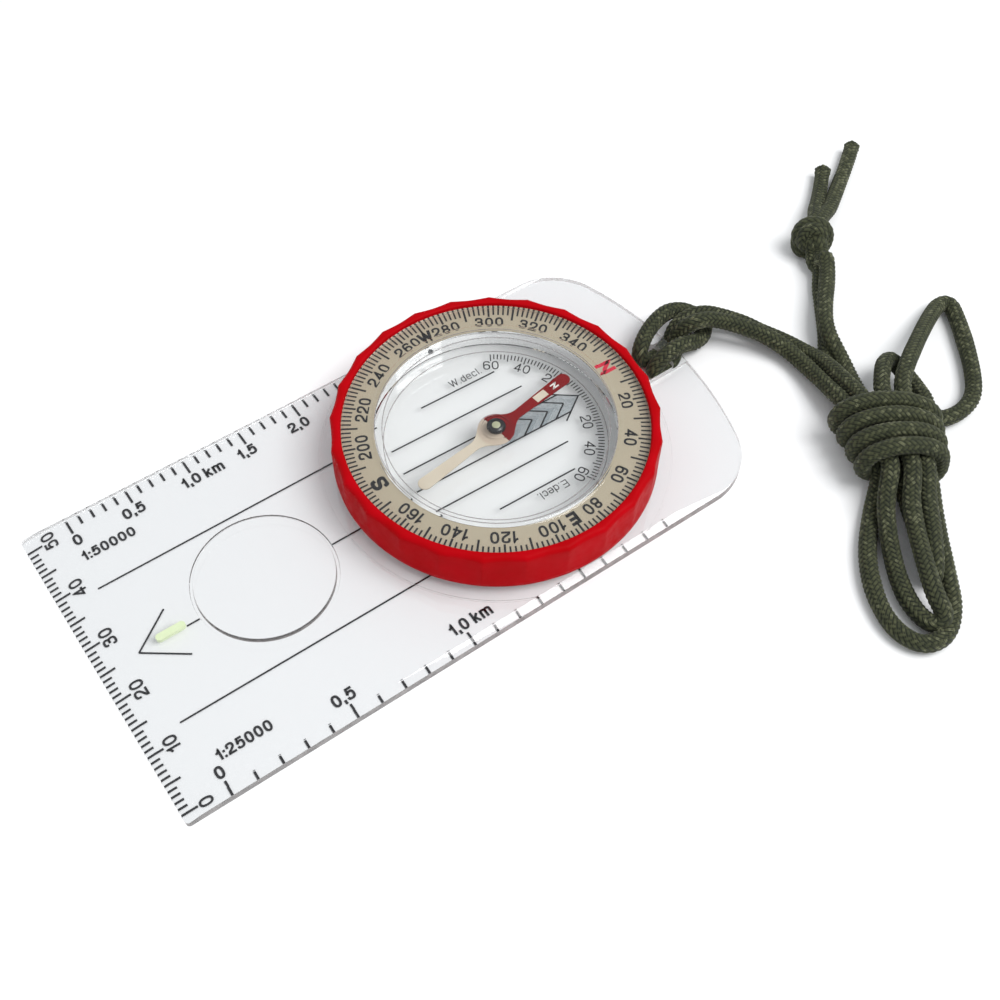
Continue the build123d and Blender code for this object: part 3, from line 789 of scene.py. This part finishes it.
def degree_scale():
    """Degrees clockwise from north, every two, on top of the scale ring."""
    low, high = SCALE_TOP + 0.005, SCALE_TOP + 0.03
    black = bmesh.new()
    red = bmesh.new()
    for bearing in range(0, 360, 2):
        inner = 22.55
        if bearing % 20 == 10:
            inner = 21.5
        elif bearing % 20 == 0:
            inner = 22.15
        width = 0.34 if bearing % 10 == 0 else 0.29
        stroke(black, compass_point(inner, bearing), compass_point(DEGREE_RIM, bearing), width, low, high)
        if bearing % 20 == 0 and bearing % 180:
            place = compass_point(DEGREE_LABELS, bearing)
            letters(black, str(bearing), 2.05, place, -bearing, low, high, 0.175)
    cardinals = (("N", 0, 2.9, red), ("E", 90, 2.3, black), ("S", 180, 2.7, black), ("W", 270, 2.3, black))
    for name, bearing, height, form in cardinals:
        letters(form, name, height, compass_point(DEGREE_LABELS, bearing), -bearing, low, high, 0.23)
    piece("degree_print", mesh_of(on_dial(black), "degree_print"), "dial", print_black)
    piece("degree_north", mesh_of(on_dial(red), "degree_north"), "dial", print_red)


def orienting_print():
    """Orienting lines, arrow and declination scale on the capsule's floor; the arrow's grey fill is partly
    print and partly painted shadow of the needle.
    """
    low, high = CAPSULE_FLOOR, CAPSULE_FLOOR + 0.02
    form = bmesh.new()
    # The arrow's fill: a faint printed grey, darkened as painted shadow of the needle.
    shade = bmesh.new()

    def line(start, end, width=0.26):
        stroke(form, start, end, width, low, high)

    for side in (-1, 1):
        line((11.5 * side, -6.8), (11.5 * side, 7.2))
        line((6.6 * side, -15.2), (6.6 * side, 9.3))
        line((2.0 * side, -15.8), (2.0 * side, 13.1))
        line((0, 15.9), (3.2 * side, 11.4))
        for vertex in (13.0, 9.9, 6.9):
            line((0, vertex), (2.0 * side, vertex - 2.8))
        outline = [(0, 0), (2.0 * side, 0), (2.0 * side, 13.1), (0, 15.9)]
        slab(shade, outline[::side], low - 0.02, low - 0.005)
        # Painted shadow: a second, darker layer over the chevrons.
        for vertex in (9.9, 6.9, 3.9):
            lower, upper = (2.0 * side, vertex - 2.8), (2.0 * side, vertex - 1.5)
            outline = [(0, vertex), lower, upper, (0, vertex + 1.3)]
            slab(shade, outline[::side], low - 0.04, low - 0.025)
        for bearing in (20, 40, 60):
            place = compass_point(FLOOR_LABELS, bearing * side)
            letters(form, str(bearing), 1.75, place, -bearing * side, low, high, 0.12)
    for bearing in range(-60, 62, 2):
        inner = 15.8 if bearing % 10 == 0 else 16.2
        line(compass_point(inner, bearing), compass_point(FLOOR_RIM, bearing), 0.19)
    letters(form, "W.decl.", 1.4, (-13.05, 2.5), 90, low, high, 0.11)
    letters(form, "E.decl.", 1.4, (13.0, 2.1), -90, low, high, 0.11)
    piece("orienting_print", mesh_of(on_dial(form), "orienting_print"), "dial", print_black)
    piece("arrow_print_and_painted_shadow", mesh_of(on_dial(shade), "arrow_print_and_painted_shadow"), "dial", arrow_print_and_shadow)


# ---------------------------------------------------------------- the needle

HUB_RADIUS = 2.9
NECK = (0.76, 4.8)
TIP = (1.12, 14.9)
TIP_END = 16.0


def blade_outline():
    """Half of the needle with its tip up, counter-clockwise from the right end of its straight side."""
    right = []
    for step in range(9):
        angle = radians(step * 4.5)
        right.append((HUB_RADIUS * cos(angle), HUB_RADIUS * sin(angle)))
    start, end = Vector(right[-1]), Vector(NECK)
    for step in range(1, 13):
        part = step / 12
        first = start + Vector((-0.55, 0.9))
        second = end + Vector((0.0, -1.4))
        point = start * (1 - part) ** 3 + first * 3 * part * (1 - part) ** 2
        point += second * 3 * part**2 * (1 - part) + end * part**3
        right.append(tuple(point))
    right.append(TIP)
    for step in range(1, 9):
        angle = radians(step * 90 / 8)
        right.append((TIP[0] * cos(angle), TIP[1] + (TIP_END - TIP[1]) * sin(angle)))
    return right + [(-x, y) for x, y in reversed(right[:-1])]


def blade(name, turn, material, node):
    form = bmesh.new()
    slab(form, blade_outline(), NEEDLE_BOTTOM, NEEDLE_TOP)
    rims = [edge for edge in form.edges if abs(edge.verts[0].co.z - edge.verts[1].co.z) < 1e-6]
    bmesh.ops.bevel(form, geom=rims, offset=0.07, segments=2, affect="EDGES", clamp_overlap=True)
    form.transform(Matrix.Translation((0, DIAL_Y, 0)) @ Matrix.Rotation(radians(NEEDLE_TURN + turn), 4, "Z"))
    half = piece(name, mesh_of(form, name), "needle", material, smooth_below=35)
    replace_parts(half, node)


def needle_letter():
    form = bmesh.new()
    letters(form, "N", 1.25, (0, 12.9), 0, NEEDLE_TOP, NEEDLE_TOP + 0.02, 0.2)
    form.transform(Matrix.Translation((0, DIAL_Y, 0)) @ Matrix.Rotation(radians(NEEDLE_TURN), 4, "Z"))
    piece("needle_print", mesh_of(form, "needle_print"), "needle", print_white)


CAP_RADIUS = 1.5
DOT_RADIUS = 0.66


def needle_cap():
    """The dark dome over the pivot, with its pale dot."""
    low, high = (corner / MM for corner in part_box("bearing_cap"))
    dot_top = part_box("cap_lume_dot")[1].z / MM
    profile = [(0, low.z), (CAP_RADIUS, low.z), (CAP_RADIUS, high.z - 0.35)]
    profile += [(CAP_RADIUS - 0.12, high.z - 0.12), (CAP_RADIUS - 0.35, high.z), (0, high.z)]
    cap = mesh_of(lathe(profile, (0, DIAL_Y), 96), "needle_cap")
    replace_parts(piece("needle_cap", cap, "needle", cap_black, smooth_below=40), "bearing_cap")
    profile = [(0, high.z - 0.1), (DOT_RADIUS, high.z - 0.1), (DOT_RADIUS, dot_top - 0.03)]
    profile += [(DOT_RADIUS - 0.06, dot_top), (0, dot_top)]
    dot = mesh_of(lathe(profile, (0, DIAL_Y), 64), "cap_dot")
    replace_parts(piece("cap_dot", dot, "needle", dot_pale, smooth_below=40), "cap_lume_dot")


clear_plate()
travel_bar()
plate_scales()
bezel()
capsule()
fill_plug()
wall_rings()
degree_scale()
orienting_print()
blade("needle_blade_north", 0, needle_red, "needle_north")
blade("needle_blade_south", 180, needle_cream, "needle_south")
needle_letter()
needle_cap()
for node, material in (
    ("degree_scale_ring", scale_beige),
    ("bearing_collar", collar_pale),
    ("retaining_ring", collar_pale),
    ("index_mark", index_red),
    ("pivot_pin", pin_steel),
    ("needle_hub", hub_clear),
    ("jewel_bearing", jewel),
    ("needle_lume_patch", needle_cream),
):
    dress(node, material)


# ---------------------------------------------------------------- the lanyard

# Routes in millimetres. Each half of the cord starts at the bight of the hitch.
hitch_a = [
    (-1.4, 60.9, 1.7), (-3.6, 60.9, 2.0), (-5.4, 59.2, 3.0), (-6.2, 56.3, 3.6), (-5.6, 53.2, 3.7),
    (-4.4, 50.2, 3.6), (-2.6, 47.4, 3.2), (-1.6, 46.8, 1.5), (-1.5, 48.6, 0.5), (-1.5, 51.5, 0.5),
    (-2.2, 53.9, 0.9), (-3.1, 55.4, 2.4),
]
hitch_b = [
    (-1.4, 60.9, 1.7), (0.2, 59.4, 1.6), (0.9, 57.2, 1.8), (0.9, 55.2, 2.8), (0.9, 53.0, 3.6),
    (1.1, 50.4, 3.6), (1.4, 47.8, 2.6), (1.5, 47.0, 1.0), (1.5, 49.2, 0.5), (1.4, 51.5, 0.5),
    (-0.6, 53.8, 0.9), (-1.7, 54.6, 2.8),
]
lead_a = [
    (-3.3, 57.1, 3.4), (-3.0, 59.1, 3.8), (-2.2, 61.2, 3.6), (-1.1, 63.2, 2.8), (0.4, 64.9, 2.3),
    (2.5, 66.6, 1.9), (5.1, 67.8, 1.6), (7.5, 69.1, 1.5), (10.1, 70.2, 1.5), (13.2, 70.9, 1.8),
    (16.2, 71.1, 2.8), (19.9, 70.3, 4.2), (23.4, 69.4, 5.2), (25.9, 69.0, 5.8),
]
lead_b = [
    (-1.1, 55.9, 4.8), (-0.2, 57.4, 5.8), (0.4, 59.4, 5.7), (1.2, 61.0, 5.1), (2.5, 62.6, 4.7),
    (4.5, 64.3, 4.2), (6.5, 66.0, 3.7), (9.0, 67.4, 3.0), (11.7, 68.5, 2.2), (15.6, 68.6, 2.2),
    (19.4, 68.0, 3.0), (23.2, 67.2, 4.0), (26.0, 66.8, 4.6),
]
small_bight = [
    (28.4, 72.1, 6.4), (26.3, 74.2, 6.4), (24.4, 76.7, 5.6), (23.5, 79.0, 4.6), (24.0, 80.3, 3.6),
    (25.4, 80.6, 3.0), (27.2, 80.4, 3.0), (28.9, 80.0, 3.2), (30.8, 79.1, 3.8), (33.0, 78.0, 4.6),
    (34.6, 76.7, 4.9),
]
tall_loop = [
    (30.2, 74.8, 6.8), (28.6, 76.6, 7.0), (26.8, 79.5, 6.8), (25.1, 82.7, 6.2), (21.9, 89.0, 4.4),
    (19.4, 94.4, 2.6), (18.4, 97.2, 1.9), (18.5, 98.9, 1.6), (19.6, 99.4, 1.5), (21.1, 98.7, 1.5),
    (23.6, 97.3, 1.5), (28.1, 94.4, 1.5), (32.2, 91.4, 1.5), (35.7, 88.1, 1.5), (37.0, 84.5, 1.5),
    (36.8, 80.7, 1.5), (35.1, 77.8, 1.5),
]
outer_loop = [
    (39.4, 62.2, 2.6), (41.6, 59.2, 1.6), (43.9, 56.1, 1.5), (47.0, 52.5, 1.5), (49.6, 50.1, 1.5),
    (52.5, 48.1, 1.5), (55.5, 46.6, 1.5), (58.5, 45.7, 1.5), (61.2, 45.7, 1.5), (63.4, 46.6, 1.5),
    (64.6, 48.0, 1.5), (65.0, 50.1, 1.5), (64.4, 52.4, 1.5), (63.0, 54.5, 1.5), (61.3, 56.2, 1.5),
    (59.2, 57.7, 1.5), (56.8, 59.4, 1.5), (54.2, 61.3, 1.5), (51.5, 63.2, 1.5), (48.6, 65.3, 1.6),
    (45.3, 67.4, 3.0),
]
inner_loop = [
    (40.3, 62.6, 6.2), (43.6, 58.6, 4.5), (47.1, 55.9, 3.5), (50.8, 53.6, 2.5), (54.8, 51.4, 2.0),
    (58.7, 50.1, 1.8), (62.1, 50.1, 1.8), (63.2, 51.4, 2.2), (62.6, 52.5, 3.2), (60.0, 52.8, 4.2),
    (56.7, 54.4, 4.7), (52.6, 56.9, 4.7), (48.6, 59.4, 5.1), (46.0, 61.3, 5.6), (44.2, 63.2, 6.4),
    (41.8, 65.5, 6.9),
]
short_loop = [
    (43.4, 67.3, 6.2), (46.6, 64.5, 4.8), (50.4, 61.7, 4.3), (53.7, 59.0, 4.2), (56.2, 57.2, 3.0),
    (57.2, 56.1, 1.7), (55.6, 56.9, 1.5), (52.9, 58.7, 1.5), (49.9, 60.6, 1.5), (46.8, 62.0, 1.6),
    (43.8, 63.4, 2.6), (40.6, 63.9, 4.0),
]
upper_a = [
    (26.7, 70.3, 3.6), (24.2, 71.7, 2.6), (21.6, 73.0, 2.0), (18.5, 74.2, 2.2), (16.0, 74.7, 3.0),
    (13.6, 75.3, 3.6), (10.7, 77.0, 3.8), (7.3, 80.3, 3.7), (4.8, 83.1, 3.6), (2.3, 85.6, 3.6),
    (0.0, 87.2, 4.4),
]
upper_b = [
    (25.3, 68.7, 3.0), (22.0, 70.0, 1.8), (19.0, 71.4, 1.5), (16.3, 72.9, 1.5), (13.9, 74.9, 1.5),
    (11.9, 76.7, 1.5), (9.4, 78.7, 1.5), (5.7, 81.6, 1.5), (2.9, 83.8, 1.5), (0.4, 86.2, 1.8),
]
end_a = [
    (-9.3, 97.3, 2.7), (-11.1, 100.0, 2.2), (-14.0, 104.5, 1.6), (-16.9, 109.1, 1.5),
    (-20.2, 113.8, 1.5),
]
end_b = [
    (-10.4, 94.7, 2.6), (-12.8, 98.0, 1.9), (-15.4, 101.1, 1.5), (-18.4, 104.5, 1.5),
]

# The knot, about its middle: to the right, up the cord, and outward, seen from above.
KNOT = Vector((-5.0, 88.7, 3.75))
KNOT_AXES = (Vector((0.702, 0.693, 0.164)), Vector((-0.567, 0.405, 0.718)), Vector((0.431, -0.597, 0.677)))
knot_outer = [
    (1.9, -4.4, 3.4), (1.7, -2.4, 1.5), (1.1, -0.4, 1.9), (0.6, 1.2, 0.6), (-0.8, 1.9, -1.2),
    (-2.2, 0.9, -1.3), (-2.5, -1.2, -0.6), (-1.6, -2.4, -0.9), (0.4, -2.5, -1.4), (2.1, -1.4, -0.9),
    (2.5, 0.7, 0.5), (1.5, 2.2, 1.2), (-0.3, 2.6, 1.2), (-1.9, 1.8, 0.9), (-2.5, 0.2, 0.6),
    (-1.8, -0.8, -0.6), (-0.4, 0.4, -2.0), (0.6, 2.2, -1.6), (1.7, 4.0, -5.0),
]
knot_inner = [
    (0.5, -4.4, 1.7), (0.3, -2.4, 1.1), (-0.1, -0.6, 1.6), (-0.4, 0.8, 0.3), (-1.2, 0.6, -1.4),
    (-1.9, -0.6, -0.8), (-1.3, -1.6, -0.2), (0.2, -1.8, -0.9), (1.5, -0.9, -0.2), (1.7, 0.6, 1.3),
    (0.9, 1.4, 2.0), (-0.4, 1.5, 2.2), (-1.4, 0.7, 1.9), (-1.6, -0.7, 1.3), (-0.8, -1.4, 0.0),
    (-0.5, 0.0, -1.9), (0.0, 2.2, -1.4), (0.4, 4.0, -5.0),
]

# The hank's own axes: along its bundle and across it, from the end where the leads go in.
HANK = Vector((29.4, 71.6, 0))
HANK_ALONG = Vector((0.895, -0.445, 0))
HANK_ACROSS = Vector((0.445, 0.895, 0))
WRAPS = 4
WRAP_POINTS = 14
WRAP_MIDDLE = 5.4
WRAP_HEIGHT = 3.95


def in_hank(along, across, height):
    return tuple(HANK + HANK_ALONG * along + HANK_ACROSS * across + Vector((0, 0, height)))


def in_knot(points):
    right, up, outward = KNOT_AXES
    return [tuple(KNOT + right * x + up * y + outward * z) for x, y, z in points]


def wraps():
    """The turns round the bundle: from under it, up the left side, over the top and down the right side."""
    route = []
    for number in range(int((WRAPS - 0.45) * WRAP_POINTS) + 1):
        turn, part = divmod(number / WRAP_POINTS, 1)
        angle = pi - 2 * pi * part
        half = 7.9 - 0.52 * (turn + part)
        across = copysign(abs(cos(angle)) ** 0.88, cos(angle))
        height = WRAP_MIDDLE + WRAP_HEIGHT * copysign(abs(sin(angle)) ** 0.88, sin(angle))
        edge_milk_and_shade_mask = (across + 1) / 2
        left = 2.6 + 3.1 * turn
        right = 5.6 + 2.5 * turn
        if part <= 0.5:
            along = left + (right - left) * edge_milk_and_shade_mask**3
        else:
            along = right + (left + 3.1 - right) * (1 - edge_milk_and_shade_mask)
        route.append(in_hank(along, half * across - 0.75, height))
    return route


half_a = (
    hitch_a
    + lead_a
    + [in_hank(0.6, -3.4, 6.5), in_hank(4.0, -3.2, 6.5), in_hank(8.0, -3.2, 6.5), in_hank(11.6, -3.2, 6.5)]
    + inner_loop
    + [in_hank(11.0, 0.0, 6.6), in_hank(7.0, 0.0, 6.5), in_hank(3.0, 0.0, 6.5)]
    + small_bight
    + [in_hank(5.0, 5.2, 5.1), in_hank(8.0, 3.6, 5.6), in_hank(11.0, 3.0, 6.3)]
    + short_loop
    + [in_hank(10.5, -2.2, 4.3), in_hank(6.0, -2.1, 4.3), in_hank(2.0, -2.4, 4.3), in_hank(-0.4, -3.6, 3.7)]
    + upper_b
    + in_knot(knot_inner)
    + end_b
)
half_b = (
    hitch_b
    + lead_b
    + [in_hank(1.0, -5.2, 4.6), in_hank(4.0, -4.9, 4.5), in_hank(8.0, -4.6, 4.5), in_hank(11.4, -4.3, 4.0)]
    + outer_loop
    + [in_hank(14.0, 3.2, 4.2), in_hank(11.0, 2.9, 4.8), in_hank(7.0, 2.8, 5.6), in_hank(3.0, 2.9, 6.5)]
    + tall_loop
    + [in_hank(4.2, 4.4, 1.5), in_hank(3.2, 0.0, 1.5), in_hank(2.8, -4.6, 1.5), in_hank(2.6, -7.6, 2.6)]
    + wraps()
    + [in_hank(13.6, 5.4, 3.2), in_hank(14.0, 3.4, 1.5), in_hank(14.3, 0.6, 1.6), in_hank(13.2, -0.7, 3.0)]
    + [in_hank(10.6, 0.2, 4.2), in_hank(6.0, 0.6, 4.3), in_hank(2.0, 0.4, 4.3), in_hank(-0.2, -1.2, 4.0)]
    + upper_a
    + in_knot(knot_outer)
    + end_a
)


def along_spline(name, points):
    """Points along the smooth line that a cord follows, in millimetres."""
    curve = bpy.data.curves.new(name, "CURVE")
    curve.dimensions = "3D"
    curve.resolution_u = 16
    spline = curve.splines.new("NURBS")
    spline.points.add(len(points) - 1)
    for control, point in zip(spline.points, points):
        control.co = (*(Vector(point) * MM), 1)
    spline.order_u = 3
    spline.use_endpoint_u = True
    holder = bpy.data.objects.new(name, curve)
    mesh = bpy.data.meshes.new_from_object(holder)
    followed = np.array([tuple(vertex.co) for vertex in mesh.vertices]) / MM
    bpy.data.objects.remove(holder)
    bpy.data.curves.remove(curve)
    bpy.data.meshes.remove(mesh)
    return followed


CARRIERS = 10
STITCH = 0.84
AROUND = 40
STEP = 0.21
BRAID_CORE = CORD / 2 - 0.2
BRAID_RELIEF = 0.24


def evenly(points, step):
    """The same line with its points evenly spaced, and its length."""
    lengths = np.linalg.norm(np.diff(points, axis=0), axis=1)
    keep = np.concatenate([[True], lengths > 1e-6])
    points = points[keep]
    travelled = np.concatenate([[0], np.cumsum(np.linalg.norm(np.diff(points, axis=0), axis=1))])
    stations = np.linspace(0, travelled[-1], int(travelled[-1] / step) + 1)
    return np.stack([np.interp(stations, travelled, points[:, axis]) for axis in range(3)], 1), stations


def sideways(path):
    """A pair of directions across the path at each point, carried along it without twist."""
    tangents = np.gradient(path, axis=0)
    tangents /= np.linalg.norm(tangents, axis=1, keepdims=True)
    first = np.cross(tangents[0], (0, 0, 1))
    sides = [first / np.linalg.norm(first)]
    for tangent in tangents[1:]:
        side = sides[-1] - tangent * np.dot(sides[-1], tangent)
        sides.append(side / np.linalg.norm(side))
    sides = np.array(sides)
    return tangents, sides, np.cross(tangents, sides)


def braided(right, left):
    """Height of the braid, from 0 between strands to 1 on a strand, for the two families' numbers."""
    order = np.mod(np.floor(right) + np.floor(left), 4)
    right_part = np.mod(right, 1)
    left_part = np.mod(left, 1)
    right_up = order < 2
    across = np.where(right_up, right_part, left_part)
    run = np.where(right_up, (order + left_part) / 2, (order - 2 + right_part) / 2)
    return np.sqrt(np.clip(1 - (2 * across - 1) ** 2, 0, 1)) * np.sin(pi * np.clip(run, 0.02, 0.98)) ** 0.45


def braided_cord(name, points, seed):
    """A mesh tube with the braid's relief and its weave map, along a route in millimetres."""
    path, stations = evenly(along_spline(name, points), STEP)
    tangents, sides, ups = sideways(path)
    angles = 2 * pi * np.arange(AROUND) / AROUND
    rows = len(path)
    turns = np.arange(AROUND)[None, :] / AROUND * CARRIERS
    right = turns + stations[:, None] / STITCH
    left = turns - stations[:, None] / STITCH + CARRIERS * 1000
    relief = braided(right, left)
    chance = np.random.default_rng(seed)
    knots = np.arange(0, stations[-1] + 4, 4)
    fullness = 1 + 0.02 * np.interp(stations, knots, chance.normal(size=len(knots)))
    flare = 1 + 0.1 * np.exp(-(((stations[-1] - stations) / 0.7) ** 2))
    radius = (BRAID_CORE + BRAID_RELIEF * relief) * fullness[:, None] * flare[:, None]
    offset = radius[..., None] * (
        np.cos(angles)[None, :, None] * sides[:, None, :] + np.sin(angles)[None, :, None] * ups[:, None, :]
    )
    pressed = np.clip((path[:, 2] - 0.05) / (CORD / 2), 0, 1)
    offset[..., 2] *= pressed[:, None]
    vertices = (path[:, None, :] + offset).reshape(-1, 3) * MM
    start = len(vertices)
    caps = np.array([path[0], path[-1] + tangents[-1] * 0.1]) * MM
    vertices = np.concatenate([vertices, caps])
    faces = []
    for row in range(rows - 1):
        here, there = row * AROUND, (row + 1) * AROUND
        for step in range(AROUND):
            after = (step + 1) % AROUND
            faces.append((here + step, here + after, there + after, there + step))
    for step in range(AROUND):
        after = (step + 1) % AROUND
        last = (rows - 1) * AROUND
        faces.append((start, after, step))
        faces.append((start + 1, last + step, last + after))
    mesh = bpy.data.meshes.new(name)
    mesh.from_pydata([tuple(vertex) for vertex in vertices], [], faces)
    attribute = mesh.attributes.new("relief", "FLOAT", "POINT")
    attribute.data.foreach_set("value", np.concatenate([relief.ravel(), [0.0, 0.0]]))
    corners = np.zeros(len(mesh.loops), np.int64)
    mesh.loops.foreach_get("vertex_index", corners)
    row_of = np.minimum(corners // AROUND, rows - 1)
    step_of = (corners % AROUND).astype(float)
    quads = (rows - 1) * AROUND
    seam = np.zeros(len(mesh.loops), bool)
    quad_corner = np.arange(quads * 4)
    in_seam = (quad_corner // 4) % AROUND == AROUND - 1
    seam[: quads * 4] = in_seam & (step_of[: quads * 4] == 0)
    around = (step_of + AROUND * seam) / AROUND * CARRIERS
    travelled = stations[row_of] / STITCH
    weave = np.stack([around + travelled, around - travelled + CARRIERS * 1000], 1)
    layer = mesh.uv_layers.new(name="Weave")
    layer.data.foreach_set("uv", weave.ravel())
    mesh.update()
    return mesh, path, stations[-1]


def lanyard_half(name, points, nodes, seed):
    """One half of the cord, with the CAD nodes it stands for."""
    mesh, path, length = braided_cord(name, points, seed)
    cord = piece(name, mesh, "baseplate", cord_olive, smooth_below=180)
    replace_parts(cord, *nodes)


lanyard_half(
    "lanyard_half_a",
    half_a,
    (
        "lanyard_hitch",
        "lanyard_lead_a",
        "lanyard_hank",
        "lanyard_small_bight",
        "lanyard_upper_b",
        "lanyard_end_b",
    ),
    3,
)
lanyard_half(
    "lanyard_half_b",
    half_b,
    ("lanyard_lead_b", "lanyard_tall_loop", "lanyard_upper_a", "lanyard_knot", "lanyard_end_a"),
    4,
)
